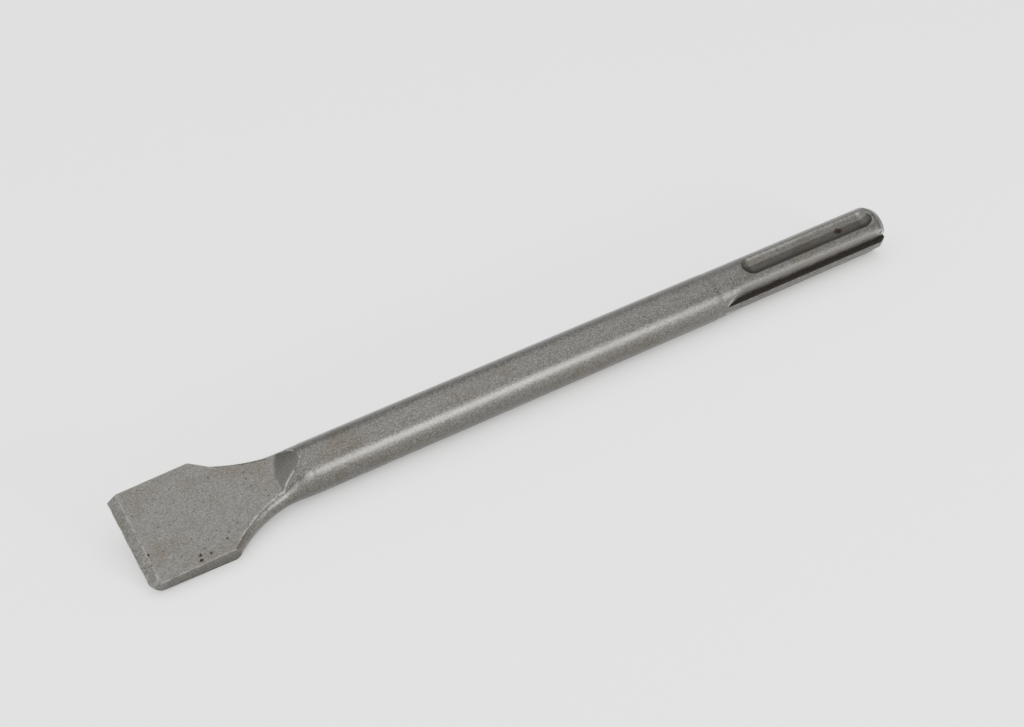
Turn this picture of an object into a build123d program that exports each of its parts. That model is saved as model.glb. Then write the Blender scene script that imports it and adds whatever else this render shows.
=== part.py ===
from build123d import *
from math import asin, atan2, cos, hypot, radians, sin, sqrt, tan
import os

# Flat demolition chisel forged from one round bar, lying on a floor.
# It touches the floor with its shaft and with the lower corner of one side of the blade.
# Lengths are in millimetres and are measured along the tool from the cutting edge.

# Whole tool
OVERALL_LENGTH = 306.0
SHAFT_DIAMETER = 18.3
SHANK_DIAMETER = 18.0
SHANK_LENGTH = 77.0
SHANK_STEP_LENGTH = 0.6

# Blade
BLADE_WIDTH = 38.0
BLADE_OFFSET = 0.35
BLADE_THICKNESS = 4.6
EDGE_FLAT = 0.3
BEVEL_LENGTH = 3.5
FACE_SLOPE = 2.1
EDGE_CORNER_RELIEF = 0.6
EDGE_CORNER_RADIUS = 3.5
FAR_CRISP_ANGLE = 40.0
NEAR_CRISP_ANGLE = 50.4
NEAR_CRISP_LEAD = 3.0
CRISP_CORNER_RADIUS = 3.0
CRISP_EDGE_LENGTH = 12.0

# Neck, where the blade narrows and thickens into the shaft
FAR_NECK_END = 62.0
FAR_NECK_RADIUS = 62.0
NEAR_NECK_END = 60.0
NEAR_NECK_RADIUS = 45.8
RAMP_FOOT = 51.5
RAMP_ANGLE = 27.0
RAMP_FOOT_RADIUS = 5.0
THICKENING_START = 50.0
THICKENING_END = 62.5
NECK_STATIONS = 16
NECK_ROUND_DIAMETER = 18.1
NECK_STEP_LENGTH = 1.5
EDGE_ALLOWANCE = 0.1
CAP_HALF_WIDTH = 2.4

# Grooves of the shank
LOCKING_GROOVE_LENGTH = 60.0
LOCKING_GROOVE_RADIUS = 5.0
GROOVE_DEPTH = 2.7
LOCKING_GROOVE_END_GAP = 4.0
DRIVE_GROOVE_LENGTH = 64.0
DRIVE_CUTTER_RADIUS = 28.0
RIB_WIDTH = 3.2
SINGLE_GROOVE_WIDTH = 5.0

# Striking end
END_CHAMFER_LENGTH = 2.8
END_CHAMFER_DEPTH = 1.7
END_ROUNDING = 0.5

SHAFT_RADIUS = SHAFT_DIAMETER / 2
SHANK_RADIUS = SHANK_DIAMETER / 2
NECK_ROUND_RADIUS = NECK_ROUND_DIAMETER / 2
FAR_WIDTH = BLADE_WIDTH / 2 - BLADE_OFFSET
NEAR_WIDTH = BLADE_WIDTH / 2 + BLADE_OFFSET
SHANK_START = OVERALL_LENGTH - SHANK_LENGTH


def face_height(x: float) -> float:
    """Height of the flat face above the middle plane of the blade."""
    return BLADE_THICKNESS / 2 + (x - BEVEL_LENGTH) * tan(radians(FACE_SLOPE))


def shoulder_place(side_width: float, neck_end: float, neck_radius: float) -> float:
    """Place along the tool where the arc of the neck meets the side of the blade."""
    drop = neck_radius + NECK_ROUND_RADIUS - side_width
    return neck_end - sqrt(neck_radius**2 - drop**2)


FAR_SHOULDER = shoulder_place(FAR_WIDTH, FAR_NECK_END, FAR_NECK_RADIUS)
NEAR_SHOULDER = shoulder_place(NEAR_WIDTH, NEAR_NECK_END, NEAR_NECK_RADIUS)
NEAR_CRISP_END = NEAR_SHOULDER - NEAR_CRISP_LEAD

# The resting roll puts the lower corner of the near side and the shaft on one level.
CORNER_DROP = face_height(NEAR_CRISP_END)
ROLL = asin(SHAFT_RADIUS / hypot(NEAR_WIDTH, CORNER_DROP)) - atan2(CORNER_DROP, NEAR_WIDTH)

# X runs from the cutting edge to the striking end, and the floor is at Z 0.
BLADE_PLANE = Plane(
    origin=(-OVERALL_LENGTH / 2, 0, SHAFT_RADIUS),
    x_dir=(1, 0, 0),
    z_dir=(0, -sin(ROLL), cos(ROLL)),
)
SIDE_PLANE = Plane(BLADE_PLANE.origin, x_dir=BLADE_PLANE.x_dir, z_dir=-BLADE_PLANE.y_dir)


def cross_plane(x: float) -> Plane:
    """Plane square to the tool at x, its X across the blade and its Y along the face's normal."""
    place = BLADE_PLANE.from_local_coords(Vector(x, 0, 0))
    return Plane(place, x_dir=BLADE_PLANE.y_dir, z_dir=BLADE_PLANE.x_dir)


def neck_half_width(x: float, neck_end: float, neck_radius: float) -> float:
    """Width of one half of the neck at x, on an arc that runs out into the shaft."""
    ahead = max(neck_end - x, 0)
    return NECK_ROUND_RADIUS + neck_radius - sqrt(neck_radius**2 - ahead**2)


def thickening(x: float) -> float:
    """Share of the way from the flat neck to the round shaft at x, from 0 to 1."""
    share = (x - THICKENING_START) / (THICKENING_END - THICKENING_START)
    share = min(max(share, 0), 1)
    return share**3 * (share * (6 * share - 15) + 10)


def flank_radius(x: float) -> float:
    """Radius of the neck's round flank at x."""
    flat = face_height(min(x, THICKENING_START)) + EDGE_ALLOWANCE
    return flat + (NECK_ROUND_RADIUS - flat) * thickening(x)


def neck_section(x: float) -> Face:
    """Flat section of the neck at x, with a round flank on each side of the blade."""
    round_radius = flank_radius(x)
    crown = round_radius + EDGE_ALLOWANCE * (1 - thickening(x))
    far_width = neck_half_width(x, FAR_NECK_END, FAR_NECK_RADIUS)
    near_width = neck_half_width(x, NEAR_NECK_END, NEAR_NECK_RADIUS)
    far_flat = max(far_width - round_radius, CAP_HALF_WIDTH)
    near_flat = max(near_width - round_radius, CAP_HALF_WIDTH)
    far_height = sqrt(round_radius**2 - (far_flat - far_width + round_radius) ** 2)
    near_height = sqrt(round_radius**2 - (near_flat - near_width + round_radius) ** 2)
    corners = [
        (far_flat, far_height),
        (far_flat, -far_height),
        (-near_flat, -near_height),
        (-near_flat, near_height),
    ]
    middles = [(far_width, 0), (0, -crown), (-near_width, 0), (0, crown)]
    place = cross_plane(x).from_local_coords
    arcs = []
    for start, middle, end in zip(corners, middles, corners[1:] + corners[:1]):
        points = [place(Vector(*point, 0)) for point in (start, middle, end)]
        arcs.append(ThreePointArc(*points))
    return Face(Wire(arcs))


def side_section() -> Sketch:
    """Side view of everything ahead of the ramps' ends: both bevels, both faces and both ramps."""
    ramp_end = RAMP_FOOT + SHAFT_DIAMETER
    ramp_top = face_height(RAMP_FOOT) + SHAFT_DIAMETER * tan(radians(RAMP_ANGLE))
    with BuildSketch(SIDE_PLANE) as profile:
        with BuildLine():
            Polyline(
                (0, -EDGE_FLAT / 2),
                (0, EDGE_FLAT / 2),
                (BEVEL_LENGTH, BLADE_THICKNESS / 2),
                (RAMP_FOOT, face_height(RAMP_FOOT)),
                (ramp_end, ramp_top),
                (ramp_end, -ramp_top),
                (RAMP_FOOT, -face_height(RAMP_FOOT)),
                (BEVEL_LENGTH, -BLADE_THICKNESS / 2),
                close=True,
            )
        make_face()
        fillet(profile.vertices().group_by(Axis.X)[-2], radius=RAMP_FOOT_RADIUS)
    return profile.sketch


# Neck, lofted from flat sections with round flanks into a round a little slimmer than the shaft
NECK_START = FAR_SHOULDER - RAMP_FOOT_RADIUS
STATION_GAP = (THICKENING_END - NECK_START) / NECK_STATIONS

with BuildPart() as neck:
    loft([neck_section(NECK_START + STATION_GAP * step) for step in range(NECK_STATIONS + 1)])
    extrude(side_section(), amount=BLADE_WIDTH, both=True, mode=Mode.INTERSECT)
    with BuildSketch(BLADE_PLANE):
        with Locations((0, -BLADE_OFFSET)):
            Rectangle(OVERALL_LENGTH, BLADE_WIDTH)
    extrude(amount=SHAFT_DIAMETER, both=True, mode=Mode.INTERSECT)

# Blade, a flat slab with a bevel on both faces and crisp edges that run out on the neck
with BuildPart() as blade:
    with BuildSketch(BLADE_PLANE) as blade_outline:
        far_run_in = CRISP_EDGE_LENGTH * tan(radians(FAR_CRISP_ANGLE))
        near_run_in = CRISP_EDGE_LENGTH * tan(radians(NEAR_CRISP_ANGLE))
        with BuildLine():
            Polyline(
                (0, FAR_WIDTH - EDGE_CORNER_RELIEF),
                (BEVEL_LENGTH, FAR_WIDTH),
                (FAR_SHOULDER, FAR_WIDTH),
                (FAR_SHOULDER + CRISP_EDGE_LENGTH, FAR_WIDTH - far_run_in),
                (NEAR_CRISP_END + CRISP_EDGE_LENGTH, near_run_in - NEAR_WIDTH),
                (NEAR_CRISP_END, -NEAR_WIDTH),
                (0, -NEAR_WIDTH),
                close=True,
            )
        make_face()
        worn_corner = blade_outline.vertices().sort_by_distance((0, -NEAR_WIDTH))[0]
        fillet(worn_corner, radius=EDGE_CORNER_RADIUS)
        crisp_corner = blade_outline.vertices().sort_by_distance((NEAR_CRISP_END, -NEAR_WIDTH))[0]
        fillet(crisp_corner, radius=CRISP_CORNER_RADIUS)
    extrude(amount=BLADE_THICKNESS, both=True)
    extrude(side_section(), amount=BLADE_WIDTH, both=True, mode=Mode.INTERSECT)

# Shaft and shank, one round bar with a chamfered striking end
with BuildPart() as bar:
    with BuildSketch(SIDE_PLANE) as bar_profile:
        with BuildLine():
            Polyline(
                (THICKENING_END, 0),
                (THICKENING_END, NECK_ROUND_RADIUS),
                (THICKENING_END + NECK_STEP_LENGTH, SHAFT_RADIUS),
                (SHANK_START - SHANK_STEP_LENGTH, SHAFT_RADIUS),
                (SHANK_START, SHANK_RADIUS),
                (OVERALL_LENGTH - END_CHAMFER_LENGTH, SHANK_RADIUS),
                (OVERALL_LENGTH, SHANK_RADIUS - END_CHAMFER_DEPTH),
                (OVERALL_LENGTH, 0),
                close=True,
            )
        make_face()
        rim = bar_profile.vertices().filter_by_position(Axis.Y, 1, SHANK_RADIUS).sort_by(Axis.X)[-2:]
        fillet(rim, radius=END_ROUNDING)
    revolve(axis=Axis(BLADE_PLANE.origin, BLADE_PLANE.x_dir))

# Drive grooves, open at the striking end and run out by a disc cutter
FLOOR = SHANK_RADIUS - GROOVE_DEPTH
DRIVE_GROOVE_START = OVERALL_LENGTH - DRIVE_GROOVE_LENGTH


def drive_cut(side: int) -> Sketch:
    """Path of the disc cutter on one side of the shank, in the plane of the blade."""
    cutter_place = side * (FLOOR + DRIVE_CUTTER_RADIUS)
    with BuildSketch(BLADE_PLANE) as path:
        with Locations((DRIVE_GROOVE_START, cutter_place)):
            Circle(DRIVE_CUTTER_RADIUS)
        with Locations((OVERALL_LENGTH, cutter_place)):
            Rectangle(2 * DRIVE_GROOVE_LENGTH, 2 * DRIVE_CUTTER_RADIUS)
    return path.sketch


# The near side has two grooves with a rib between them
with BuildPart() as double_groove:
    extrude(drive_cut(-1), amount=SHANK_DIAMETER, both=True)
    extrude(drive_cut(-1), amount=RIB_WIDTH / 2, both=True, mode=Mode.SUBTRACT)

# The far side has one
with BuildPart() as single_groove:
    extrude(drive_cut(1), amount=SINGLE_GROOVE_WIDTH / 2, both=True)

# Locking grooves, closed at both ends, above and below the plane of the blade
with BuildPart() as locking_grooves:
    ball_height = FLOOR + LOCKING_GROOVE_RADIUS
    ball_reach = sqrt(LOCKING_GROOVE_RADIUS**2 - (ball_height - SHANK_RADIUS) ** 2)
    groove_end = OVERALL_LENGTH - LOCKING_GROOVE_END_GAP
    ball_travel = LOCKING_GROOVE_LENGTH - 2 * ball_reach
    for side in (1, -1):
        middle = (groove_end - LOCKING_GROOVE_LENGTH / 2, side * ball_height)
        with BuildSketch(SIDE_PLANE) as groove_side:
            with Locations(middle):
                SlotCenterToCenter(ball_travel, 2 * LOCKING_GROOVE_RADIUS)
                with Locations((0, side * LOCKING_GROOVE_RADIUS)):
                    Rectangle(OVERALL_LENGTH, 2 * LOCKING_GROOVE_RADIUS, mode=Mode.SUBTRACT)
        groove_axis = Axis(SIDE_PLANE.from_local_coords(Vector(*middle, 0)), SIDE_PLANE.x_dir)
        revolve(axis=groove_axis)

with BuildPart() as chisel:
    add(neck.part)
    add(blade.part)
    add(bar.part)
    add(double_groove.part, mode=Mode.SUBTRACT)
    add(single_groove.part, mode=Mode.SUBTRACT)
    add(locking_grooves.part, mode=Mode.SUBTRACT)

os.makedirs("parts", exist_ok=True)
chisel.part.label = "chisel"
export_step(chisel.part, "parts/chisel.step")
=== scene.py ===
"""Flat demolition chisel: the dressed tool, its floor, its lights and the camera.

The tool has a frame of its own, in millimetres: x runs from the cutting edge to the striking
end, y runs across the blade towards the side that is raised from the floor, and z is the normal
of the blade's face. ToolFrame turns that into the rest pose in metres.
"""

from __future__ import annotations

import logging
import math
from dataclasses import dataclass, field
from enum import Enum

import bpy
import numpy as np
from mathutils import Euler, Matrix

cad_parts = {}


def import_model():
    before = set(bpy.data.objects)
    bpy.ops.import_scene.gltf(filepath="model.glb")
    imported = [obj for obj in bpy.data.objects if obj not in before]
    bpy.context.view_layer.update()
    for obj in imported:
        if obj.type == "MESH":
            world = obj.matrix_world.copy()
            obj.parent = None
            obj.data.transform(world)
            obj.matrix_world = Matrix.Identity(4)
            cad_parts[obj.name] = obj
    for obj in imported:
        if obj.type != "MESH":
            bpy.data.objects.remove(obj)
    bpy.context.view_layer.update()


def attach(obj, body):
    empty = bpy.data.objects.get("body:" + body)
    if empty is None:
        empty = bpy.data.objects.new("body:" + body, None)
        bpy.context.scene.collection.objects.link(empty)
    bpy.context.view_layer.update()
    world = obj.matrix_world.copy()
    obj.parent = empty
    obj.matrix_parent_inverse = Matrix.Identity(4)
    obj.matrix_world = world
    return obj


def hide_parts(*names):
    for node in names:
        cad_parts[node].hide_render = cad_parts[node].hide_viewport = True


LOG = logging.getLogger("chisel")
MM = 0.001
TINY = 1e-9
NODE = "chisel"


class Mark(Enum):
    """What is known of the skin at a point, kept on the mesh for the finish to read."""

    # Worn edges, with a painted highlight along the bevel's line and the creases.
    EDGE = "worn_edge_and_highlight"
    BEVEL = "ground_bevel"
    # The ramps, which the finish darkens as a painted shade.
    RAMP = "ramp_facet"
    FLANK = "forged_flank"
    SHAFT = "round_shaft"
    GROOVE = "cut_groove"
    # Painted shade, with some dirt, on the rib's walls and on the near walls of the locking grooves.
    DARKENED = "dark_wall"
    # Painted light on the drive grooves' floor beside the rib.
    STRIP = "painted_light_strip"
    PIT = "scale_pit"
    RUST = "rust_spot"
    NICK = "bright_nick"


def smooth_max(first: np.ndarray, second: np.ndarray, rounding: float) -> np.ndarray:
    """Joins two distances so that the edge between their surfaces is rounded off.

    Args:
        first: Distances to one surface, negative inside.
        second: Distances to the other surface.
        rounding: Reach of the rounding in millimetres.

    Returns:
        Distances to what is inside both.
    """
    share = np.clip(0.5 + 0.5 * (first - second) / rounding, 0, 1)
    return second + (first - second) * share + rounding * share * (1 - share)


def smooth_min(first: np.ndarray, second: np.ndarray, rounding: float) -> np.ndarray:
    """Joins two distances so that the corner between their surfaces is filled.

    Args:
        first: Distances to one surface, negative inside.
        second: Distances to the other surface.
        rounding: Reach of the fillet in millimetres.

    Returns:
        Distances to what is inside either.
    """
    return -smooth_max(-first, -second, rounding)


def smooth_step(low: float, high: float, value: np.ndarray) -> np.ndarray:
    """Eases from 0 at low to 1 at high.

    Args:
        low: Value where the step begins.
        high: Value where it ends.
        value: Values to ease.

    Returns:
        Shares from 0 to 1.
    """
    share = np.clip((value - low) / (high - low), 0, 1)
    return share * share * (3 - 2 * share)


@dataclass(frozen=True)
class Blade:
    """Flat blade with a bevel on both faces, in millimetres."""

    width: float = 38.0
    offset: float = 0.35
    thickness: float = 4.6
    edge_flat: float = 0.3
    bevel_length: float = 3.5
    face_slope: float = 2.1
    corner_relief: float = 0.6
    corner_radius: float = 3.5
    far_crisp_angle: float = 40.0
    near_crisp_angle: float = 50.4
    near_crisp_lead: float = 3.0
    crisp_corner_rounding: float = 1.26
    far_corner_rounding: float = 0.3
    crisp_end: float = 40.0
    bevel_line_rounding: float = 0.12

    @property
    def far_width(self) -> float:
        """Width of the raised half."""
        return self.width / 2 - self.offset

    @property
    def near_width(self) -> float:
        """Width of the half that touches the floor."""
        return self.width / 2 + self.offset

    def face_height(self, x: np.ndarray | float) -> np.ndarray | float:
        """Height of the flat face above the blade's middle plane."""
        return self.thickness / 2 + (x - self.bevel_length) * math.tan(math.radians(self.face_slope))

    def face_distance(self, x: np.ndarray, z: np.ndarray) -> np.ndarray:
        """Distance above the flat faces."""
        return (np.abs(z) - self.face_height(x)) * math.cos(math.radians(self.face_slope))

    def bevel_distance(self, x: np.ndarray, z: np.ndarray) -> np.ndarray:
        """Distance above the bevels and ahead of the blunt edge between them.

        Args:
            x: Places along the tool.
            z: Heights from the blade's middle plane.

        Returns:
            Distances, negative inside.
        """
        rise = (self.thickness - self.edge_flat) / 2 / self.bevel_length
        bevel = (np.abs(z) - self.edge_flat / 2 - x * rise) / math.hypot(1, rise)
        return smooth_max(bevel, -x + 0 * z, self.bevel_line_rounding)

    def outline_distance(self, x: np.ndarray, y: np.ndarray, shoulders: tuple[float, float]) -> np.ndarray:
        """Distance outside the blade's outline, seen square to its face.

        Args:
            x: Places along the tool.
            y: Places across the blade.
            shoulders: Where the far and the near crisp edges begin to run in.

        Returns:
            Distances, negative inside.
        """
        far, near = self.far_width, self.near_width
        far_turn, near_turn = math.radians(self.far_crisp_angle), math.radians(self.near_crisp_angle)
        relief = math.atan2(self.corner_relief, self.bevel_length)
        relieved = (y - far + self.corner_relief) * math.cos(relief) - x * math.sin(relief)
        far_side = np.maximum(y - far, relieved)
        far_run = (x - shoulders[0]) * math.sin(far_turn) + (y - far) * math.cos(far_turn)
        near_run = (x - shoulders[1]) * math.sin(near_turn) - (y + near) * math.cos(near_turn)
        far_side = smooth_max(far_side, far_run, self.far_corner_rounding)
        near_side = smooth_max(-near - y + 0 * x, near_run, self.crisp_corner_rounding)
        radius = self.corner_radius
        rounded = np.hypot(np.minimum(x - radius, 0), np.minimum(y + near - radius, 0)) - radius
        near_side = np.where((x < radius) & (y < radius - near), rounded, near_side)
        return np.maximum(np.maximum(far_side, near_side), x - self.crisp_end)


@dataclass(frozen=True)
class Neck:
    """Stretch where the blade narrows and thickens into the round shaft, in millimetres."""

    round_radius: float = 9.05
    far_end: float = 62.0
    far_radius: float = 62.0
    near_end: float = 60.0
    near_radius: float = 45.8
    ramp_foot: float = 51.9
    ramp_foot_slant: float = 0.24
    ramp_foot_bow: float = 0.03
    ramp_angle: float = 28.5
    ramp_foot_rounding: float = 0.48
    thickening_end: float = 62.5
    edge_allowance: float = 0.28
    ramp_allowance: float = 0.36
    thickening_rounding: float = 0.8
    lead_in: float = 20.0

    def half_width(self, x: np.ndarray, end: float, radius: float) -> np.ndarray:
        """Width of one half at x, on an arc that runs out into the shaft."""
        ahead = np.clip(end - x, 0, radius)
        return self.round_radius + radius - np.sqrt(radius**2 - ahead**2)

    def shoulder(self, side_width: float, end: float, radius: float) -> float:
        """Place where the neck's arc meets the side of the blade."""
        drop = radius + self.round_radius - side_width
        return end - math.sqrt(radius**2 - drop**2)

    def ramp_height(self, x: np.ndarray, foot: np.ndarray | float, blade: Blade) -> np.ndarray:
        """Height of a ramp that begins at its foot."""
        return blade.face_height(foot) + (x - foot) * math.tan(math.radians(self.ramp_angle))

    def flank_radius(self, x: np.ndarray, blade: Blade) -> np.ndarray:
        """Radius of the round flank, a little above the face and then above the ramp.

        Args:
            x: Places along the tool.
            blade: The blade that the neck grows from.

        Returns:
            Radii, up to the round neck's own.
        """
        level = blade.face_height(x) + self.edge_allowance
        climb = self.ramp_height(x, self.ramp_foot, blade) + self.ramp_allowance
        radius = smooth_max(level, climb, self.thickening_rounding)
        return smooth_min(radius, self.round_radius + 0 * x, self.thickening_rounding)

    def foot_line(self, y: np.ndarray) -> np.ndarray:
        """Place of the ramp's foot, which runs aslant and in a shallow bow."""
        return self.ramp_foot + y * (self.ramp_foot_slant + y * self.ramp_foot_bow)

    def ramp_distance(self, x: np.ndarray, y: np.ndarray, z: np.ndarray, blade: Blade) -> np.ndarray:
        """Distance above the ramps that climb from the faces on to the shaft."""
        above = np.abs(z) - self.ramp_height(x, self.foot_line(y), blade)
        return above * math.cos(math.radians(self.ramp_angle))

    def flank_distance(self, x: np.ndarray, y: np.ndarray, z: np.ndarray, blade: Blade) -> np.ndarray:
        """Distance outside the neck, taken across the tool.

        Args:
            x: Places along the tool.
            y: Places across the blade.
            z: Heights from the blade's middle plane.
            blade: The blade that the neck grows from.

        Returns:
            Distances, negative inside.
        """
        radius = self.flank_radius(x, blade)
        far = self.half_width(x, self.far_end, self.far_radius) - radius
        near = self.half_width(x, self.near_end, self.near_radius) - radius
        across = np.hypot(y - np.clip(y, -near, far), z) - radius
        across = np.maximum(across, np.maximum(y - blade.far_width, -blade.near_width - y))
        return across + np.maximum(self.lead_in - x, 0)


@dataclass(frozen=True)
class Bar:
    """Round shaft, and shank with its grooves and chamfered end, in millimetres."""

    length: float = 306.0
    shaft_radius: float = 9.15
    shank_radius: float = 9.0
    shank_length: float = 77.0
    step_length: float = 3.0
    neck_step_length: float = 1.5
    groove_depth: float = 2.7
    locking_length: float = 60.0
    locking_radius: float = 5.0
    locking_end_gap: float = 4.0
    drive_length: float = 64.0
    cutter_radius: float = 28.0
    rib_width: float = 3.2
    single_width: float = 5.0
    chamfer_length: float = 2.8
    chamfer_depth: float = 1.7
    rim_rounding: float = 0.45
    lip_rounding: float = 0.32
    corner_rounding: float = 0.12
    # Painted shade, with some dirt, on the near walls of the locking grooves: where it lies across the
    # blade, and how dark.
    shade_and_dirt_band: tuple[float, float] = (-3.2, 1.7)
    shade_and_dirt: float = 0.75

    @property
    def shank_start(self) -> float:
        """Place of the small step from the shaft down to the shank."""
        return self.length - self.shank_length

    @property
    def floor(self) -> float:
        """Distance of the grooves' floors from the axis."""
        return self.shank_radius - self.groove_depth

    def round_distance(self, x: np.ndarray, y: np.ndarray, z: np.ndarray, neck: Neck) -> np.ndarray:
        """Distance outside the turned surfaces.

        Args:
            x: Places along the tool.
            y: Places across the blade.
            z: Heights from the blade's middle plane.
            neck: The neck that runs into the shaft.

        Returns:
            Distances, negative inside.
        """
        step = smooth_step(self.shank_start - self.step_length, self.shank_start, x)
        start = smooth_step(neck.thickening_end, neck.thickening_end + self.neck_step_length, x)
        radius = neck.round_radius + (self.shaft_radius - neck.round_radius) * start
        radius = radius - (self.shaft_radius - self.shank_radius) * step
        reach = np.hypot(y, z)
        slope = self.chamfer_depth / self.chamfer_length
        chamfer = reach - self.shank_radius + (x - self.length + self.chamfer_length) * slope
        turned = smooth_max(reach - radius, chamfer / math.hypot(1, slope), self.rim_rounding)
        return smooth_max(turned, x - self.length + 0 * turned, self.rim_rounding)

    def locking_distance(self, x: np.ndarray, y: np.ndarray, z: np.ndarray) -> np.ndarray:
        """Distance outside the two closed grooves that a ball-nosed cutter leaves.

        Args:
            x: Places along the tool.
            y: Places across the blade.
            z: Heights from the blade's middle plane.

        Returns:
            Distances, negative in what is cut away.
        """
        height = self.floor + self.locking_radius
        reach = math.sqrt(self.locking_radius**2 - (height - self.shank_radius) ** 2)
        end = self.length - self.locking_end_gap
        along = x - np.clip(x, end - self.locking_length + reach, end - reach)
        return np.sqrt(along**2 + y**2 + (np.abs(z) - height) ** 2) - self.locking_radius

    def cutter_path(self, x: np.ndarray, depth: np.ndarray) -> np.ndarray:
        """Distance outside the path of the disc cutter.

        Args:
            x: Places along the tool.
            depth: Distances from the axis, towards the cutter.

        Returns:
            Distances, negative in what is cut away.
        """
        start = self.length - self.drive_length
        run_out = np.hypot(x - start, depth - self.floor - self.cutter_radius) - self.cutter_radius
        return np.where(x < start, run_out, self.floor - depth)

    def double_distance(self, x: np.ndarray, y: np.ndarray, z: np.ndarray) -> np.ndarray:
        """Distance outside the pair of drive grooves beside the rib."""
        beside = self.rib_width / 2 - np.abs(z) + 0 * x
        return smooth_max(self.cutter_path(x, -y), beside, self.corner_rounding)

    def single_distance(self, x: np.ndarray, y: np.ndarray, z: np.ndarray) -> np.ndarray:
        """Distance outside the single drive groove."""
        beside = np.abs(z) - self.single_width / 2 + 0 * x
        return smooth_max(self.cutter_path(x, y), beside, self.corner_rounding)


@dataclass(frozen=True)
class ToolFrame:
    """Rest pose: the tool lies on its shaft and on the near corner of its blade."""

    length: float
    shaft_radius: float
    corner_reach: float
    corner_drop: float

    @property
    def roll(self) -> float:
        """Turn about the tool's length that brings the corner down to the floor."""
        reach = math.hypot(self.corner_reach, self.corner_drop)
        return math.asin(self.shaft_radius / reach) - math.atan2(self.corner_drop, self.corner_reach)

    def to_world(self, points: np.ndarray) -> np.ndarray:
        """Turns points of the tool's own frame into the rest pose.

        Args:
            points: Rows of x, y, z in millimetres.

        Returns:
            Rows of X, Y, Z in metres.
        """
        cos, sin = math.cos(self.roll), math.sin(self.roll)
        x, y, z = points.T
        world = (x - self.length / 2, y * cos - z * sin, self.shaft_radius + y * sin + z * cos)
        return np.stack(world, axis=1) * MM


@dataclass(frozen=True)
class SkinMark:
    """A spot on the upper or lower face, a pit or a nick, in millimetres."""

    x: float
    y: float
    size: float
    depth: float = 0.0
    stretch: float = 1.0


@dataclass(frozen=True)
class Wear:
    """Marks of use and of scale, as places on the upper face and on the shank."""

    pits: tuple[SkinMark, ...] = (
        SkinMark(4.0, -7.6, 0.95, 0.22, 0.7),
        SkinMark(18.3, -15.7, 1.15, 0.24, 0.9),
        SkinMark(20.5, -13.9, 0.90, 0.20, 0.6),
        SkinMark(17.9, -17.6, 0.95, 0.24, 1.4),
        SkinMark(21.8, -16.6, 1.20, 0.14, 1.3),
        SkinMark(3.5, -2.8, 0.85, 0.15, 0.6),
        SkinMark(3.5, -11.7, 0.80, 0.15, 0.5),
        SkinMark(10.3, -12.8, 0.80, 0.11),
        SkinMark(15.2, -8.9, 0.75, 0.10, 0.8),
        SkinMark(21.4, -7.4, 0.80, 0.10, 1.2),
        SkinMark(19.6, 1.8, 0.90, 0.13, 0.5),
        SkinMark(29.6, 1.6, 0.85, 0.10),
    )
    nicks: tuple[SkinMark, ...] = (
        SkinMark(11.2, -1.5, 0.45),
        SkinMark(11.6, -2.9, 0.40),
        SkinMark(38.7, -1.9, 0.40),
        SkinMark(44.7, 2.0, 0.40),
    )
    darkest_depth: float = 0.28
    stray_pits: int = 220
    stray_corners: tuple[tuple[float, float], tuple[float, float]] = ((2.0, -17.5), (50.0, 17.0))
    stray_end: float = 58.0
    stray_size: tuple[float, float] = (0.35, 0.7)
    stray_depth: float = 0.06
    stray_darkness: tuple[float, float] = (0.2, 0.75)
    # Each spot has its place along the tool, its turn from the top in degrees, and its size.
    rust_spots: tuple[tuple[float, float, float], ...] = ((287.3, 2.0, 1.7), (303.8, -56.5, 0.85))
    rust_spread: float = 1.3
    chip_depth: float = 0.22
    chip_length: float = 2.4
    chip_mean: float = 0.45
    chip_swing: float = 0.3
    chip_waves: int = 6
    first_wave: float = 0.7
    wave_step: float = 0.83
    coarse_grinding: tuple[float, float] = (2.0, -15.0)
    seed: int = 41


@dataclass(frozen=True)
class Grid:
    """How densely the skin's rings are laid, as places and spacings along the tool."""

    half_ring: int = 112
    rays: int = 720
    fan: float = 0.3
    ray_length: float = 16.0
    halvings: int = 26
    turn_weight: float = 2.0
    end_gap: float = 0.03
    spacings: tuple[tuple[float, float], ...] = (
        (0.0, 0.06),
        (0.5, 0.10),
        (1.0, 0.45),
        (3.0, 0.40),
        (3.3, 0.14),
        (3.8, 0.14),
        (4.2, 0.40),
        (26.5, 0.42),
        (27.5, 0.25),
        (33.0, 0.27),
        (35.0, 0.44),
        (49.5, 0.44),
        (50.5, 0.26),
        (53.0, 0.28),
        (55.0, 0.42),
        (58.5, 0.38),
        (59.5, 0.20),
        (62.5, 0.22),
        (70.0, 1.30),
        (90.0, 2.50),
        (220.0, 2.50),
        (227.5, 0.30),
        (228.3, 0.15),
        (229.2, 0.15),
        (229.8, 0.40),
        (241.0, 0.45),
        (242.0, 0.25),
        (247.0, 0.28),
        (250.0, 1.60),
        (281.5, 1.60),
        (283.5, 0.35),
        (288.0, 0.35),
        (290.0, 1.60),
        (294.0, 1.60),
        (297.0, 0.30),
        (302.4, 0.20),
        (303.0, 0.12),
        (304.5, 0.20),
        (305.5, 0.08),
        (306.0, 0.06),
    )

    def stations(self, length: float) -> np.ndarray:
        """Finds the places of the rings.

        Args:
            length: Length of the tool.

        Returns:
            Places from the cutting edge to just short of the striking end.
        """
        places, gaps = np.array(self.spacings).T
        found = [0.0]
        while found[-1] < length:
            found.append(found[-1] + float(np.interp(found[-1], places, gaps)))
        return np.array(found) * (length - self.end_gap) / found[-1]


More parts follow.
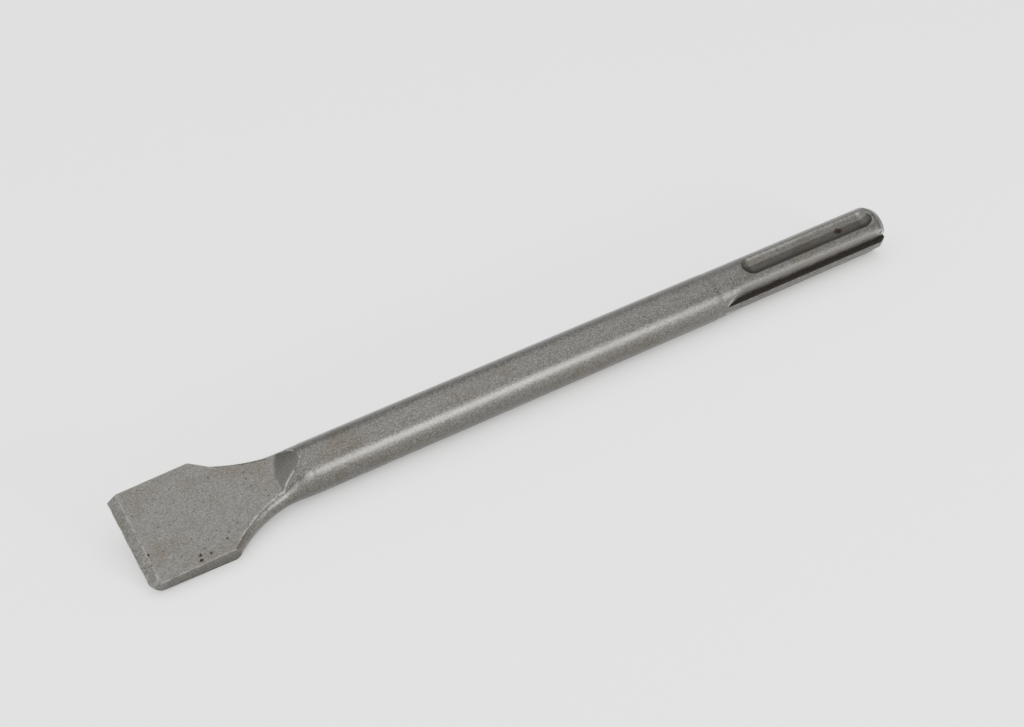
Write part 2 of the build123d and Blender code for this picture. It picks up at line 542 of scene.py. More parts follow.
@dataclass(frozen=True)
class SkinBands:
    """Where one kind of skin gives way to the next, in millimetres and in shares."""

    under_skin: float = 0.45
    probe: float = 0.02
    edge: tuple[float, float] = (0.14, 0.5)
    flat: tuple[float, float] = (-0.5, -0.1)
    flank_depth: float = -0.2
    ramp: tuple[float, float] = (0.0, 0.16)
    bevel: tuple[float, float] = (-0.15, 0.15)
    fine_grinding: float = 0.4
    groove: tuple[float, float] = (-0.1, 0.1)
    in_locking: float = 0.3
    in_double: float = 0.5
    # Reach of the painted shade on the rib's walls, and fade of the painted shade on the locking grooves'
    # walls.
    rib_wall: tuple[float, float] = (0.08, 0.35)
    shade_and_dirt_fade: float = 0.9
    # Painted light on the drive grooves' floor fades by strip_loss between these heights from the middle
    # plane.
    strip: tuple[float, float] = (2.0, 6.0)
    strip_loss: float = 0.7
    # Width, height and fades of the painted highlight along the creases and the bevel's line.
    border_width: float = 0.28
    border_height: float = 0.3
    border_start: float = 30.0
    border_fade: float = 4.0
    far_border_share: float = 0.25
    far_border_fade: float = 3.0
    bevel_line_share: float = 0.32


@dataclass
class ChiselBody:
    """The forged tool, built as one skin of rings along its length."""

    blade: Blade = field(default_factory=Blade)
    neck: Neck = field(default_factory=Neck)
    bar: Bar = field(default_factory=Bar)
    wear: Wear = field(default_factory=Wear)
    grid: Grid = field(default_factory=Grid)
    bands: SkinBands = field(default_factory=SkinBands)
    edge_rounding: float = 0.32

    @property
    def shoulders(self) -> tuple[float, float]:
        """Where the far and the near crisp edges begin to run in."""
        far = self.neck.shoulder(self.blade.far_width, self.neck.far_end, self.neck.far_radius)
        near = self.neck.shoulder(self.blade.near_width, self.neck.near_end, self.neck.near_radius)
        return far, near - self.blade.near_crisp_lead

    @property
    def frame(self) -> ToolFrame:
        """The rest pose."""
        drop = self.blade.face_height(self.shoulders[1])
        return ToolFrame(self.bar.length, self.bar.shaft_radius, self.blade.near_width, drop)

    def distances(self, x: np.ndarray, y: np.ndarray, z: np.ndarray) -> dict[str, np.ndarray]:
        """Distances to each family of surfaces, which meet at the tool's edges.

        Args:
            x: Places along the tool.
            y: Places across the blade.
            z: Heights from the blade's middle plane.

        Returns:
            Distances by name, negative inside, with the whole skin under "skin".
        """
        blade, neck, bar = self.blade, self.neck, self.bar
        face = blade.face_distance(x, z)
        ramp = neck.ramp_distance(x, y, z, blade)
        bevel = blade.bevel_distance(x, z)
        flat = smooth_max(smooth_min(face, ramp, neck.ramp_foot_rounding), bevel, blade.bevel_line_rounding)
        outline = blade.outline_distance(x, y, self.shoulders)
        flank = np.minimum(neck.flank_distance(x, y, z, blade), outline)
        forged = smooth_max(flat, flank, self.edge_rounding)
        turned = bar.round_distance(x, y, z, neck)
        locking = bar.locking_distance(x, y, z)
        double = bar.double_distance(x, y, z)
        single = bar.single_distance(x, y, z)
        cut = np.minimum(locking, np.minimum(double, single))
        grooved = smooth_max(turned, -cut, bar.lip_rounding)
        skin = np.where(x < neck.thickening_end, forged, grooved)
        crisp = np.maximum(np.maximum(np.minimum(face, ramp), bevel), flank)
        crisp = np.where(x < neck.thickening_end, crisp, np.maximum(turned, -cut))
        names = ("face", "bevel", "flat", "flank", "turned", "locking", "double", "cut", "skin", "crisp")
        values = (face, bevel, flat, flank, turned, locking, double, cut, skin, crisp)
        return {name: np.broadcast_to(value, skin.shape) for name, value in zip(names, values)}

    def ray_origins(self, x: np.ndarray) -> tuple[np.ndarray, np.ndarray]:
        """Finds the line inside each section from which the rays start.

        Args:
            x: Places of the sections.

        Returns:
            How far the line reaches to the far side, and to the near side.
        """
        blade, neck = self.blade, self.neck
        rise = blade.edge_flat / 2 + x * (blade.thickness - blade.edge_flat) / 2 / blade.bevel_length
        inset = np.minimum(rise, neck.flank_radius(x, blade))
        relief = blade.corner_relief * np.clip(1 - x / blade.bevel_length, 0, 1)
        missing = np.clip(blade.corner_radius - x, 0, blade.corner_radius)
        corner = blade.corner_radius - np.sqrt(blade.corner_radius**2 - missing**2)
        far = np.minimum(neck.half_width(x, neck.far_end, neck.far_radius), blade.far_width - relief)
        near = np.minimum(neck.half_width(x, neck.near_end, neck.near_radius), blade.near_width - corner)
        return np.maximum(far - inset, 0), np.maximum(near - inset, 0)

    def half_sections(self, stations: np.ndarray) -> np.ndarray:
        """Upper half of each section, found along rays.

        Args:
            stations: Places of the sections.

        Returns:
            Points y, z for every station and ray, from the far side to the near side.
        """
        grid = self.grid
        x = stations[:, None]
        share = np.linspace(0, 1, grid.rays)[None, :]
        turn = np.clip(share / grid.fan, 0, 1) + np.clip((share - 1 + grid.fan) / grid.fan, 0, 1)
        angle = turn * math.pi / 2
        slide = np.clip((share - grid.fan) / (1 - 2 * grid.fan), 0, 1)
        far, near = self.ray_origins(x)
        start = far * (1 - slide) - near * slide
        low = np.zeros((len(stations), grid.rays))
        high = low + grid.ray_length
        cos, sin = np.cos(angle), np.sin(angle)
        sin = np.where(sin < TINY, 0, sin)
        for _ in range(grid.halvings):
            middle = (low + high) / 2
            inside = self.distances(x, start + cos * middle, sin * middle)["skin"] <= TINY
            low, high = np.where(inside, middle, low), np.where(inside, high, middle)
        return np.stack((start + cos * low, sin * low), axis=2)

    def spread(self, outline: np.ndarray) -> np.ndarray:
        """Spaces the points of one half section evenly, and closer where it turns.

        Args:
            outline: Points y, z from the far side to the near side.

        Returns:
            The half ring's points.
        """
        steps = np.hypot(*np.diff(outline, axis=0).T)
        length = np.concatenate(([0], np.cumsum(steps)))
        even = np.linspace(0, length[-1], self.grid.rays)
        line = np.stack([np.interp(even, length, outline[:, k]) for k in (0, 1)], axis=1)
        heading = np.unwrap(np.arctan2(*np.diff(line, axis=0).T[::-1]))
        turns = np.abs(np.diff(heading))
        turns = np.convolve(np.concatenate(([0], turns, [0])), (0.25, 0.5, 0.25), "same")
        steps = np.diff(even) + self.grid.turn_weight * (turns[1:] + turns[:-1]) / 2
        weight = np.concatenate(([0], np.cumsum(steps)))
        wanted = np.linspace(0, weight[-1], self.grid.half_ring + 1)
        points = np.stack([np.interp(wanted, weight, line[:, k]) for k in (0, 1)], axis=1)
        points[[0, -1], 1] = 0
        return points

    def ring_points(self) -> np.ndarray:
        """All rings of the skin.

        Returns:
            Points x, y, z by station and by place on the ring.
        """
        stations = self.grid.stations(self.bar.length)
        halves = np.stack([self.spread(outline) for outline in self.half_sections(stations)])
        below = halves[:, -2:0:-1] * (1, -1)
        rings = np.concatenate((halves, below), axis=1)
        along = np.broadcast_to(stations[:, None, None], (*rings.shape[:2], 1))
        return np.concatenate((along, rings), axis=2)

    def faces(self, rings: int) -> list[tuple[int, ...]]:
        """Faces between the rings, and the strips that close both ends.

        Args:
            rings: Number of rings.

        Returns:
            Vertex numbers of each face, outwards.
        """
        half = self.grid.half_ring
        size = 2 * half
        found = []
        for ring in range(rings - 1):
            here, after = ring * size, (ring + 1) * size
            for place in range(size):
                beside = (place + 1) % size
                found.append((here + place, here + beside, after + beside, after + place))
        last = (rings - 1) * size
        strips = [(0, size - 1, 1)]
        strips += [(place, size - place, size - place - 1, place + 1) for place in range(1, half - 1)]
        strips.append((half - 1, half + 1, half))
        found += strips
        found += [tuple(last + corner for corner in reversed(strip)) for strip in strips]
        return found

    def sink(self, points: np.ndarray, where: np.ndarray, spot: SkinMark) -> np.ndarray:
        """Weight of a spot at each point, on the part of the skin where it may lie."""
        reach = np.hypot((points[:, 0] - spot.x) / spot.stretch, points[:, 1] - spot.y) / spot.size
        return np.clip(1 - reach**2, 0, 1) ** 2 * where

    def edge_share(self, points: np.ndarray) -> np.ndarray:
        """Finds how near each point is to an outward edge, told by what lies just under the skin.

        Args:
            points: Rows of x, y, z.

        Returns:
            Shares from 0 to 1.
        """
        bands = self.bands
        slopes = []
        for shift in np.eye(3) * bands.probe:
            ahead = self.distances(*(points + shift).T)["skin"]
            slopes.append(ahead - self.distances(*(points - shift).T)["skin"])
        outwards = np.stack(slopes, axis=1)
        outwards /= np.maximum(np.linalg.norm(outwards, axis=1, keepdims=True), TINY)
        under = self.distances(*(points - outwards * bands.under_skin).T)["crisp"]
        return smooth_step(*bands.edge, 1 + under / bands.under_skin)

    def border_share(self, points: np.ndarray) -> np.ndarray:
        """Finds how near each point is to the bevel's line, or to where a flat meets the flank, for a
        painted highlight along these lines.

        Args:
            points: Rows of x, y, z.

        Returns:
            Shares from 0 to 1.
        """
        x, y, _ = points.T
        neck, blade, bands = self.neck, self.blade, self.bands
        radius = neck.flank_radius(x, blade)
        end = np.where(y > 0, neck.far_end, neck.near_end)
        curve = np.where(y > 0, neck.far_radius, neck.near_radius)
        height = np.maximum(blade.face_height(x), neck.ramp_height(x, neck.foot_line(y), blade))
        open_share = np.sqrt(np.clip(1 - (height / radius) ** 2, 0, 1))
        line = neck.half_width(x, end, curve) - radius * (1 - open_share)
        share = np.exp(-(((np.abs(y) - line) / bands.border_width) ** 2))
        share = share * (1 - smooth_step(0.0, bands.border_height, height - radius))
        share = share * smooth_step(bands.border_start, bands.border_start + bands.border_fade, x)
        past_foot = smooth_step(neck.ramp_foot, neck.ramp_foot + bands.far_border_fade, x)
        far = bands.far_border_share + (1 - bands.far_border_share) * past_foot
        share = share * np.where(y > 0, far, 1.0)
        bevel_line = np.exp(-(((x - blade.bevel_length) / bands.border_width) ** 2))
        return np.maximum(share, bands.bevel_line_share * bevel_line)

    def shade_and_dirt_share(self, y: np.ndarray, locking: np.ndarray) -> np.ndarray:
        """Finds how dark the near wall of a locking groove is painted: painted shade, with some dirt.

        Args:
            y: Places across the blade.
            locking: Distances to the locking grooves.

        Returns:
            Shares from 0 to 1.
        """
        low, high = self.bar.shade_and_dirt_band
        fade = self.bands.shade_and_dirt_fade
        band = smooth_step(low, low + fade, y) * (1 - smooth_step(high - fade, high, y))
        return (locking < self.bands.in_locking) * band * self.bar.shade_and_dirt

    def marked(self, points: np.ndarray) -> dict[Mark, np.ndarray]:
        """Finds what kind of skin each point has.

        Args:
            points: Rows of x, y, z.

        Returns:
            A share from 0 to 1 for each mark and point.
        """
        x, y, z = points.T
        bands = self.bands
        near = self.distances(x, y, z)
        forged = x < self.neck.thickening_end
        above_flank = near["flat"] - np.maximum(near["flank"], bands.flank_depth)
        on_flat = smooth_step(*bands.flat, above_flank) * forged
        bevel = smooth_step(*bands.bevel, near["bevel"] - near["face"])
        coarse = smooth_step(*self.wear.coarse_grinding, y)
        ground = bands.fine_grinding + (1 - bands.fine_grinding) * coarse
        groove = smooth_step(*bands.groove, -near["cut"] - near["turned"]) * ~forged
        in_double = near["double"] < bands.in_double
        from_wall = np.abs(np.abs(z) - self.bar.rib_width / 2)
        # Painted shade, with some dirt, on the rib's walls.
        rib_wall = in_double * (1 - smooth_step(*bands.rib_wall, from_wall))
        # Painted light on the drive grooves' floor, fading away from the rib.
        open_strip = 1 - bands.strip_loss * smooth_step(*bands.strip, np.abs(z))
        shade_and_dirt = self.shade_and_dirt_share(y, near["locking"])
        return {
            # Worn edges, and a painted highlight along the bevel's line and the creases.
            Mark.EDGE: np.maximum(self.edge_share(points), self.border_share(points) * forged),
            Mark.BEVEL: bevel * on_flat * ground,
            Mark.RAMP: smooth_step(*bands.ramp, near["face"]) * on_flat,
            Mark.FLANK: forged * (1 - on_flat),
            Mark.SHAFT: 1.0 * ~forged * (1 - groove),
            Mark.GROOVE: groove,
            Mark.DARKENED: groove * np.maximum(rib_wall, shade_and_dirt),
            Mark.STRIP: groove * in_double * (1 - rib_wall) * open_strip,
        }

    def pitted(
        self, points: np.ndarray, marks: dict[Mark, np.ndarray], chance: np.random.Generator
    ) -> np.ndarray:
        """Sinks the pits and marks them, and marks the nicks.

        Args:
            points: Rows of x, y, z.
            marks: The skin's marks, to which the pits and nicks are added.
            chance: Where the stray pits' places, sizes and shades come from.

        Returns:
            The points with their pits.
        """
        wear = self.wear
        moved = points.copy()
        flats = 1 - marks[Mark.FLANK]
        top = (points[:, 2] > 0) * flats * (points[:, 0] < self.neck.thickening_end)
        pits, nicks = np.zeros(len(points)), np.zeros(len(points))
        for spot in wear.pits:
            weight = self.sink(points, top, spot)
            moved[:, 2] -= spot.depth * weight
            pits = np.maximum(pits, weight * spot.depth / wear.darkest_depth)
        for spot in wear.nicks:
            nicks = np.maximum(nicks, self.sink(points, top, spot))
        for _ in range(wear.stray_pits):
            under = chance.random() < 0.5
            side = (points[:, 2] < 0 if under else points[:, 2] > 0) * (points[:, 0] < wear.stray_end)
            place = chance.uniform(*wear.stray_corners)
            size = chance.uniform(*wear.stray_size)
            weight = self.sink(points, side * flats, SkinMark(place[0], place[1], size))
            moved[:, 2] += (1 if under else -1) * wear.stray_depth * weight
            pits = np.maximum(pits, weight * chance.uniform(*wear.stray_darkness))
        marks |= {Mark.PIT: pits, Mark.NICK: nicks}
        return moved

    def rust_share(self, points: np.ndarray) -> np.ndarray:
        """Finds how rusty each point is.

        Args:
            points: Rows of x, y, z.

        Returns:
            Shares from 0 to 1.
        """
        rust = np.zeros(len(points))
        around = np.degrees(np.arctan2(points[:, 1], points[:, 2]))
        for along, angle, size in self.wear.rust_spots:
            reach = np.hypot(points[:, 0] - along, np.radians(around - angle) * self.bar.shank_radius)
            rust = np.maximum(rust, np.clip(self.wear.rust_spread - reach / size, 0, 1))
        return rust

    def chipping(self, points: np.ndarray, chance: np.random.Generator) -> np.ndarray:
        """Finds how far the cutting edge is worn back.

        Args:
            points: Rows of x, y, z.
            chance: Where the waves' phases come from.

        Returns:
            Distances along the tool.
        """
        wear = self.wear
        phases = chance.uniform(0, 2 * math.pi, wear.chip_waves)
        ripple = np.zeros(len(points))
        for wave, phase in enumerate(phases):
            turn = points[:, 1] * (wear.first_wave + wear.wave_step * wave) + phase
            ripple = ripple + np.sin(turn) / (1 + wave)
        give = np.clip(1 - points[:, 0] / wear.chip_length, 0, 1) ** 2
        return wear.chip_depth * give * np.clip(wear.chip_mean + wear.chip_swing * ripple, 0, 1)

    def worn(self, points: np.ndarray, marks: dict[Mark, np.ndarray]) -> np.ndarray:
        """Adds the pits, the nicks, the rust and the chipped edge.

        Args:
            points: Rows of x, y, z.
            marks: The skin's marks, to which the spots are added.

        Returns:
            The points with their pits and chips.
        """
        chance = np.random.default_rng(self.wear.seed)
        moved = self.pitted(points, marks, chance)
        moved[:, 0] += self.chipping(points, chance)
        marks[Mark.RUST] = self.rust_share(points)
        return moved

    def build(self, finish: BlastedSteel, skin: ForgedSkin) -> bpy.types.Object:
        """Builds and dresses the tool.

        Args:
            finish: The steel's finish.
            skin: The unevenness that the hammering leaves.

        Returns:
            The tool's object, in the rest pose.
        """
        rings = self.ring_points()
        points = rings.reshape(-1, 3)
        marks = self.marked(points)
        points = self.worn(points, marks)
        mesh = bpy.data.meshes.new("chisel_body")
        mesh.from_pydata(self.frame.to_world(points).tolist(), [], self.faces(len(rings)))
        for mark in Mark:
            values = mesh.attributes.new(mark.value, "FLOAT", "POINT")
            values.data.foreach_set("value", np.ascontiguousarray(marks[mark], dtype=np.float32))
        mesh.polygons.foreach_set("use_smooth", np.ones(len(mesh.polygons), bool))
        mesh.update()
        body = bpy.data.objects.new("chisel_body", mesh)
        bpy.context.scene.collection.objects.link(body)
        skin.lay_on(body, finish.material())
        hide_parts(NODE)
        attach(body, "root")
        return body


def add_node(
    tree: bpy.types.NodeTree,
    kind: str,
    settings: dict[str, object] | None = None,
    inputs: dict[int | str, object] | None = None,
) -> bpy.types.Node:
    """Adds a node with its settings, its values and its links.

    Args:
        tree: The tree that gets the node.
        kind: The node's type.
        settings: Its properties by name.
        inputs: Its inputs by name or number: a socket is linked, anything else is set.

    Returns:
        The node.
    """
    node = tree.nodes.new(kind)
    for name, value in (settings or {}).items():
        setattr(node, name, value)
    for key, value in (inputs or {}).items():
        socket = node.inputs[key]
        if isinstance(value, bpy.types.NodeSocket):
            tree.links.new(value, socket)
        else:
            socket.default_value = value
    return node


def linear(colour: str) -> tuple[float, float, float, float]:
    """Turns an sRGB colour into linear light.

    Args:
        colour: The colour as a hex value such as "#86827f".

    Returns:
        Red, green, blue and a full alpha.
    """
    channels = [int(colour[place : place + 2], 16) / 255 for place in (1, 3, 5)]
    light = [c / 12.92 if c <= 0.04045 else ((c + 0.055) / 1.055) ** 2.4 for c in channels]
    return (*light, 1.0)


@dataclass(frozen=True)
class ForgedSkin:
    """Unevenness of the hammered and blasted skin, in millimetres, as a tree of geometry nodes."""

    dent_depth: float = 0.05
    dent_size: float = 5.0
    grain_depth: float = 0.008
    grain_size: float = 0.9
    detail: float = 1.5
    seed: float = 7.0

    def tree(self) -> bpy.types.NodeTree:
        """Builds the tree that sinks the skin along its normals.

        Returns:
            The tree, with its sizes as named inputs.
        """
        tree = bpy.data.node_groups.new("forged_skin", "GeometryNodeTree")
        tree.interface.new_socket("Geometry", in_out="INPUT", socket_type="NodeSocketGeometry")
        for name in ("Dent Depth", "Dent Size", "Grain Depth", "Grain Size", "Seed"):
            tree.interface.new_socket(name, in_out="INPUT", socket_type="NodeSocketFloat")
        tree.interface.new_socket("Steel", in_out="INPUT", socket_type="NodeSocketMaterial")
        tree.interface.new_socket("Geometry", in_out="OUTPUT", socket_type="NodeSocketGeometry")
        given = add_node(tree, "NodeGroupInput").outputs
        place = add_node(tree, "GeometryNodeInputPosition").outputs[0]
        sunk = []
        for depth, size in (("Dent Depth", "Dent Size"), ("Grain Depth", "Grain Size")):
            scale = add_node(tree, "ShaderNodeMath", {"operation": "DIVIDE"}, {0: 1.0, 1: given[size]})
            noise = add_node(
                tree,
                "ShaderNodeTexNoise",
                {"noise_dimensions": "4D"},
                {"Vector": place, "W": given["Seed"], "Scale": scale.outputs[0], "Detail": self.detail},
            )
            sunk.append(
                add_node(
                    tree,
                    "ShaderNodeMath",
                    {"operation": "MULTIPLY"},
                    {0: noise.outputs[0], 1: given[depth]},
                ).outputs[0]
            )
        depth = add_node(tree, "ShaderNodeMath", {"operation": "ADD"}, {0: sunk[0], 1: sunk[1]})
        inwards = add_node(
            tree,
            "ShaderNodeVectorMath",
            {"operation": "SCALE"},
            {0: add_node(tree, "GeometryNodeInputNormal").outputs[0]},
        )
        down = add_node(tree, "ShaderNodeMath", {"operation": "MULTIPLY"}, {0: depth.outputs[0], 1: -1.0})
        tree.links.new(down.outputs[0], inwards.inputs["Scale"])
        laid = add_node(
            tree,
            "GeometryNodeSetPosition",
            inputs={"Geometry": given["Geometry"], "Offset": inwards.outputs[0]},
        )
        whole = add_node(tree, "GeometryNodeRealizeInstances", inputs={0: laid.outputs[0]})
        dressed = add_node(
            tree,
            "GeometryNodeSetMaterial",
            inputs={"Geometry": whole.outputs[0], "Material": given["Steel"]},
        )
        add_node(tree, "NodeGroupOutput", inputs={0: dressed.outputs[0]})
        return tree

    def lay_on(self, piece: bpy.types.Object, material: bpy.types.Material) -> None:
        """Runs the tree on a piece and keeps the result as its mesh.

        Args:
            piece: The object to make uneven.
            material: The finish that the tree sets.
        """
        modifier = piece.modifiers.new("forged_skin", "NODES")
        modifier.node_group = self.tree()
        values = {
            "Dent Depth": self.dent_depth * MM,
            "Dent Size": self.dent_size * MM,
            "Grain Depth": self.grain_depth * MM,
            "Grain Size": self.grain_size * MM,
            "Seed": self.seed,
            "Steel": material,
        }
        for item in modifier.node_group.interface.items_tree:
            if item.in_out == "INPUT" and item.name in values:
                modifier[item.identifier] = values[item.name]
        plain = bpy.data.meshes.new_from_object(piece.evaluated_get(bpy.context.evaluated_depsgraph_get()))
        piece.modifiers.remove(modifier)
        piece.data = plain


class Hue(Enum):
    """Colours of the steel, as sRGB."""

    BODY = "#474643"
    PALE = "#62605c"
    SHADE = "#383735"
    BROWN = "#3b3226"
    RUBBED = "#84827e"
    PAINTED_LIGHT = "#a5a39f"
    DARKENED = "#15110d"
    RUST = "#1e1810"


class Pattern(Enum):
    """Patterns that break up the steel's colours."""

    MOTTLE = "mottle"
    GRIT = "grit"
    FLECKS = "flecks"
    CLOUDS = "clouds"
    LINES = "grinding_lines"


@dataclass(frozen=True)
class Patches:
    """Noise of a pattern: the width of its patches in millimetres, its detail and its stretch."""

    pattern: Pattern
    size: float
    detail: float
    along: float = 1.0


@dataclass(frozen=True)
class Coat:
    """A colour laid over those before it: how much of it, on which mark, broken by which pattern.

    The pattern fades in between the limits. With a raggedness the pattern is added to the mark, which
    tears the mark's rim, and the fringe is where the mark itself fades in.
    """

    hue: Hue
    share: float
    mark: Mark | None = None
    pattern: Pattern | None = None
    limits: tuple[float, float] = (0.0, 1.0)
    on_flats: bool = False
    raggedness: float = 0.0
    fringe: tuple[float, float] = (0.0, 0.2)


@dataclass(frozen=True)
class BlastedSteel:
    """Drop-forged carbon steel, shot-blasted: a matt grey with a fine, even sparkle.

    The eye sees a soft sheen along the round shaft, faint mottling where scale came off, bright
    rubbed edges with a painted highlight along the creases, dark pits, and a brownish tint in wide
    patches. Painted shade darkens the grooves, the ramps and the rib's walls, with some dirt in the
    grooves, and painted light brightens the drive grooves' floor beside the rib.
    """

    base: Hue = Hue.SHADE
    patterns: tuple[Patches, ...] = (
        Patches(Pattern.MOTTLE, 1.5, 3.0),
        # Real blasting leaves pits of a tenth of a millimetre, drawn here as coarse as the render can show.
        Patches(Pattern.GRIT, 0.5, 2.0),
        Patches(Pattern.FLECKS, 0.9, 1.0),
        Patches(Pattern.CLOUDS, 14.0, 2.0),
        Patches(Pattern.LINES, 0.9, 2.0, along=0.07),
    )
    pattern_roughness: float = 0.55
    coats: tuple[Coat, ...] = (
        Coat(Hue.BODY, 1.0, pattern=Pattern.MOTTLE, limits=(0.1, 0.7)),
        Coat(Hue.PALE, 0.15, on_flats=True),
        Coat(Hue.PALE, 0.6, pattern=Pattern.GRIT, limits=(0.46, 0.62)),
        Coat(Hue.DARKENED, 0.4, pattern=Pattern.FLECKS, limits=(0.66, 0.76), on_flats=True),
        Coat(Hue.BROWN, 0.28, pattern=Pattern.CLOUDS, limits=(0.5, 0.72)),
        Coat(Hue.SHADE, 0.22, Mark.BEVEL),
        Coat(Hue.RUBBED, 0.3, Mark.BEVEL, Pattern.LINES, (0.44, 0.62)),
        # Painted shade on the ramps.
        Coat(Hue.SHADE, 0.6, Mark.RAMP),
        # Painted shade, with some dirt, in the grooves.
        Coat(Hue.SHADE, 0.15, Mark.GROOVE),
        # Painted light on the drive grooves' floor beside the rib.
        Coat(Hue.PAINTED_LIGHT, 0.95, Mark.STRIP),
        # Painted shade, with some dirt, on the rib's walls and on the locking grooves' near walls.
        Coat(Hue.DARKENED, 0.75, Mark.DARKENED),
        # Worn edges, lighter, with a painted highlight along the creases.
        Coat(Hue.RUBBED, 0.75, Mark.EDGE, Pattern.MOTTLE, (0.35, 0.6)),
        Coat(Hue.RUBBED, 0.5, Mark.NICK),
        Coat(Hue.DARKENED, 0.9, Mark.PIT, Pattern.GRIT, (1.36, 1.7), raggedness=2.2, fringe=(0.02, 0.2)),
        Coat(Hue.RUST, 1.0, Mark.RUST, Pattern.GRIT, (1.75, 2.1), raggedness=3.0),
    )
    roughness: float = 0.37
    roughness_swing: float = 0.14
    bump_mm: float = 0.06
    bump_strength: float = 0.8

    def lay_patterns(self, tree: bpy.types.NodeTree) -> dict[Pattern, bpy.types.NodeSocket]:
        """Adds the patterns, on object coordinates.

        Args:
            tree: The material's nodes.

        Returns:
            Each pattern's value.
        """
        place = add_node(tree, "ShaderNodeTexCoord").outputs["Object"]
        found = {}
        for patches in self.patterns:
            vector = place
            if patches.along != 1.0:
                stretch = {"Vector": place, "Scale": (patches.along, 1.0, 1.0)}
                vector = add_node(tree, "ShaderNodeMapping", inputs=stretch).outputs[0]
            inputs = {
                "Vector": vector,
                "Scale": 1 / (patches.size * MM),
                "Detail": patches.detail,
                "Roughness": self.pattern_roughness,
            }
            found[patches.pattern] = add_node(tree, "ShaderNodeTexNoise", inputs=inputs).outputs[0]
        return found

    def coat_share(
        self,
        tree: bpy.types.NodeTree,
        coat: Coat,
        patterns: dict[Pattern, bpy.types.NodeSocket],
        marks: dict[Mark, bpy.types.NodeSocket],
        flat: bpy.types.NodeSocket,
    ) -> bpy.types.NodeSocket:
        """Finds how much of a coat lies at each point.

        Args:
            tree: The material's nodes.
            coat: The coat.
            patterns: Each pattern's value.
            marks: The skin's marks.
            flat: How flat the skin is.

        Returns:
            Its share, from 0 to 1.
        """
        factors = [flat] if coat.on_flats else []
        if coat.raggedness:
            torn = {0: patterns[coat.pattern], 1: coat.raggedness, 2: marks[coat.mark]}
            ragged = add_node(tree, "ShaderNodeMath", {"operation": "MULTIPLY_ADD"}, torn)
            eased = [(ragged.outputs[0], coat.limits), (marks[coat.mark], coat.fringe)]
        else:
            factors += [marks[coat.mark]] if coat.mark else []
            eased = [(patterns[coat.pattern], coat.limits)] if coat.pattern else []
        for value, (low, high) in eased:
            reach = {"Value": value, "From Min": low, "From Max": high}
            smooth = {"interpolation_type": "SMOOTHSTEP"}
            factors.append(add_node(tree, "ShaderNodeMapRange", smooth, reach).outputs[0])
        share = factors[0]
        for factor in (*factors[1:], coat.share):
            product = {0: share, 1: factor}
            share = add_node(tree, "ShaderNodeMath", {"operation": "MULTIPLY"}, product).outputs[0]
        return share

    def material(self) -> bpy.types.Material:
        """Builds the material.

        Returns:
            A material that reads object coordinates and the skin's marks.
        """
        steel = bpy.data.materials.new("blasted_forged_steel")
        steel.use_nodes = True
        tree = steel.node_tree
        tree.nodes.clear()
        marks = {}
        for kind in Mark:
            found = add_node(tree, "ShaderNodeAttribute", {"attribute_name": kind.value})
            marks[kind] = found.outputs["Fac"]
        patterns = self.lay_patterns(tree)
        either = {0: marks[Mark.SHAFT], 1: marks[Mark.FLANK]}
        bent = add_node(tree, "ShaderNodeMath", {"operation": "MAXIMUM"}, either).outputs[0]
        flat = add_node(tree, "ShaderNodeMath", {"operation": "SUBTRACT"}, {0: 1.0, 1: bent}).outputs[0]
        colour = linear(self.base.value)
        for coat in self.coats:
            share = self.coat_share(tree, coat, patterns, marks, flat)
            laid = {"Factor": share, 6: colour, 7: linear(coat.hue.value)}
            colour = add_node(tree, "ShaderNodeMix", {"data_type": "RGBA"}, laid).outputs[2]
        heights = add_node(
            tree,
            "ShaderNodeMath",
            {"operation": "MULTIPLY_ADD"},
            {0: patterns[Pattern.LINES], 1: marks[Mark.BEVEL], 2: patterns[Pattern.GRIT]},
        )
        bump = add_node(
            tree,
            "ShaderNodeBump",
            inputs={
                "Strength": self.bump_strength,
                "Distance": self.bump_mm * MM,
                "Height": heights.outputs[0],
            },
        )
        least = self.roughness - self.roughness_swing / 2
        rough = add_node(
            tree,
            "ShaderNodeMath",
            {"operation": "MULTIPLY_ADD", "use_clamp": True},
            {0: patterns[Pattern.MOTTLE], 1: self.roughness_swing, 2: least},
        )
        shader = add_node(
            tree,
            "ShaderNodeBsdfPrincipled",
            inputs={
                "Base Color": colour,
                "Metallic": 1.0,
                "Roughness": rough.outputs[0],
                "Normal": bump.outputs[0],
            },
        )
        add_node(tree, "ShaderNodeOutputMaterial", inputs={"Surface": shader.outputs[0]})
        return steel


@dataclass(frozen=True)
class SoftBox:
    """A soft light: where it hangs, where it points and how big and bright it is."""

    name: str
    place: tuple[float, float, float]
    aim: tuple[float, float, float]
    size: tuple[float, float]
    watts: float

    def hang(self) -> None:
        """Adds the light to the scene."""
        data = bpy.data.lights.new(self.name, "AREA")
        data.shape = "RECTANGLE"
        data.size, data.size_y = self.size
        data.energy = self.watts
        light = bpy.data.objects.new(self.name, data)
        light.location = self.place
        gaze = np.array(self.aim) - np.array(self.place)
        level = math.hypot(gaze[0], gaze[1])
        heading = math.atan2(gaze[1], gaze[0]) - math.pi / 2 if level > 0 else 0.0
        light.rotation_euler = (math.atan2(level, -gaze[2]), 0, heading)
        bpy.context.scene.collection.objects.link(light)


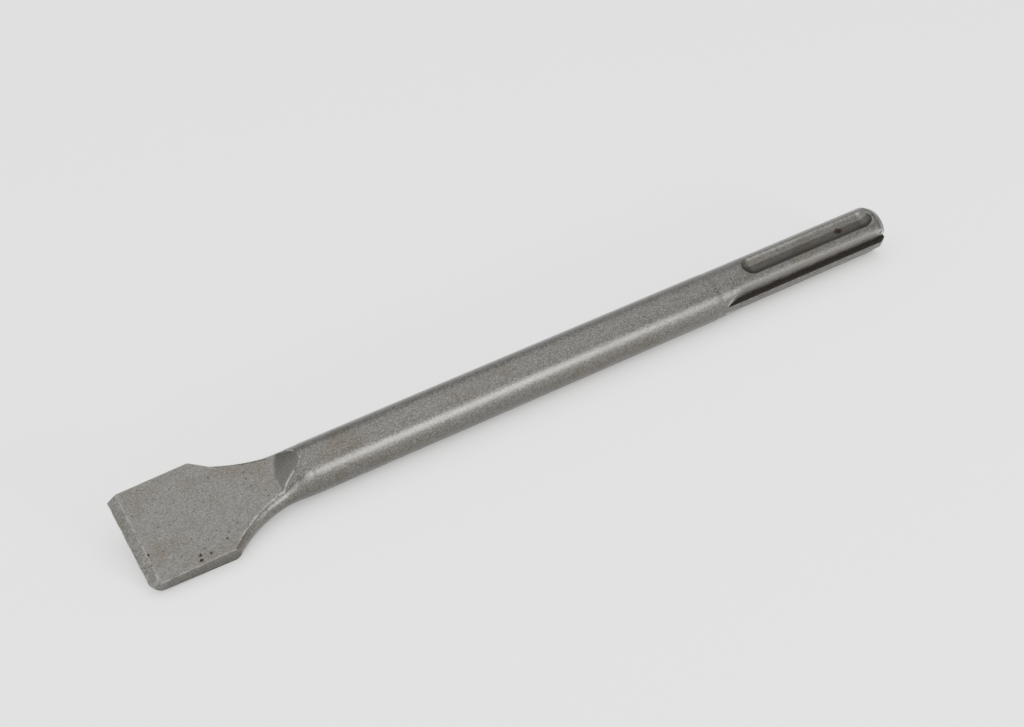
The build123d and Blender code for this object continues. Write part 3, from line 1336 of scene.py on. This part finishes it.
@dataclass(frozen=True)
class Studio:
    """Pale floor, soft lights and the camera."""

    floor_size: float = 6.0
    floor_colour: str = "#f4f3f1"
    floor_roughness: float = 0.9
    sky_colour: str = "#f6f7f8"
    sky_strength: float = 1.7
    camera_place: tuple[float, float, float] = (-0.215637, -0.414168, 0.355878)
    camera_turn: tuple[float, float, float] = (53.57417, 5.25934, -30.39692)
    focal_length_px: float = 1642.9
    image_width_px: int = 1024
    film_width: float = 36.0
    nearest: float = 0.01
    boxes: tuple[SoftBox, ...] = (
        SoftBox("low_front", (0.34, -1.1, 0.27), (0.0, 0.0, 0.0), (0.38, 0.15), 17.0),
        SoftBox("ceiling", (-0.8, -0.3, 1.6), (-0.8, -0.3, 0.0), (4.0, 3.2), 95.0),
    )

    def lay_floor(self) -> bpy.types.Object:
        """Lays the floor.

        Returns:
            The floor.
        """
        half = self.floor_size / 2
        mesh = bpy.data.meshes.new("floor")
        corners = [(-half, -half, 0), (half, -half, 0), (half, half, 0), (-half, half, 0)]
        mesh.from_pydata(corners, [], [(0, 1, 2, 3)])
        floor = bpy.data.objects.new("floor", mesh)
        bpy.context.scene.collection.objects.link(floor)
        # Matt painted board: an even, soft white with no pattern.
        paint = bpy.data.materials.new("matt_floor")
        paint.use_nodes = True
        shader = paint.node_tree.nodes["Principled BSDF"]
        shader.inputs["Base Color"].default_value = linear(self.floor_colour)
        shader.inputs["Roughness"].default_value = self.floor_roughness
        mesh.materials.append(paint)
        return floor

    def light(self) -> None:
        """Sets the sky and hangs the soft boxes."""
        world = bpy.data.worlds.new("soft_sky")
        world.use_nodes = True
        sky = world.node_tree.nodes["Background"]
        sky.inputs["Color"].default_value = linear(self.sky_colour)
        sky.inputs["Strength"].default_value = self.sky_strength
        bpy.context.scene.world = world
        for box in self.boxes:
            box.hang()

    def place_camera(self) -> None:
        """Puts the camera where the photograph was taken from."""
        data = bpy.data.cameras.new("photo_camera")
        data.sensor_fit = "HORIZONTAL"
        data.sensor_width = self.film_width
        data.lens = self.focal_length_px / self.image_width_px * self.film_width
        data.clip_start = self.nearest
        camera = bpy.data.objects.new("photo_camera", data)
        camera.location = self.camera_place
        camera.rotation_euler = Euler([math.radians(angle) for angle in self.camera_turn], "XYZ")
        bpy.context.scene.collection.objects.link(camera)
        bpy.context.scene.camera = camera


def main() -> None:
    """Builds the tool and its studio, and logs the tool's mesh size and the floor's width."""
    logging.basicConfig(level=logging.INFO, format="%(name)s: %(message)s")
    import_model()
    body = ChiselBody().build(BlastedSteel(), ForgedSkin())
    LOG.info("%s: %d vertices, %d faces", body.name, len(body.data.vertices), len(body.data.polygons))
    studio = Studio()
    floor = studio.lay_floor()
    LOG.info("%s: %.1f m across", floor.name, studio.floor_size)
    studio.light()
    studio.place_camera()


if __name__ == "__main__":
    main()
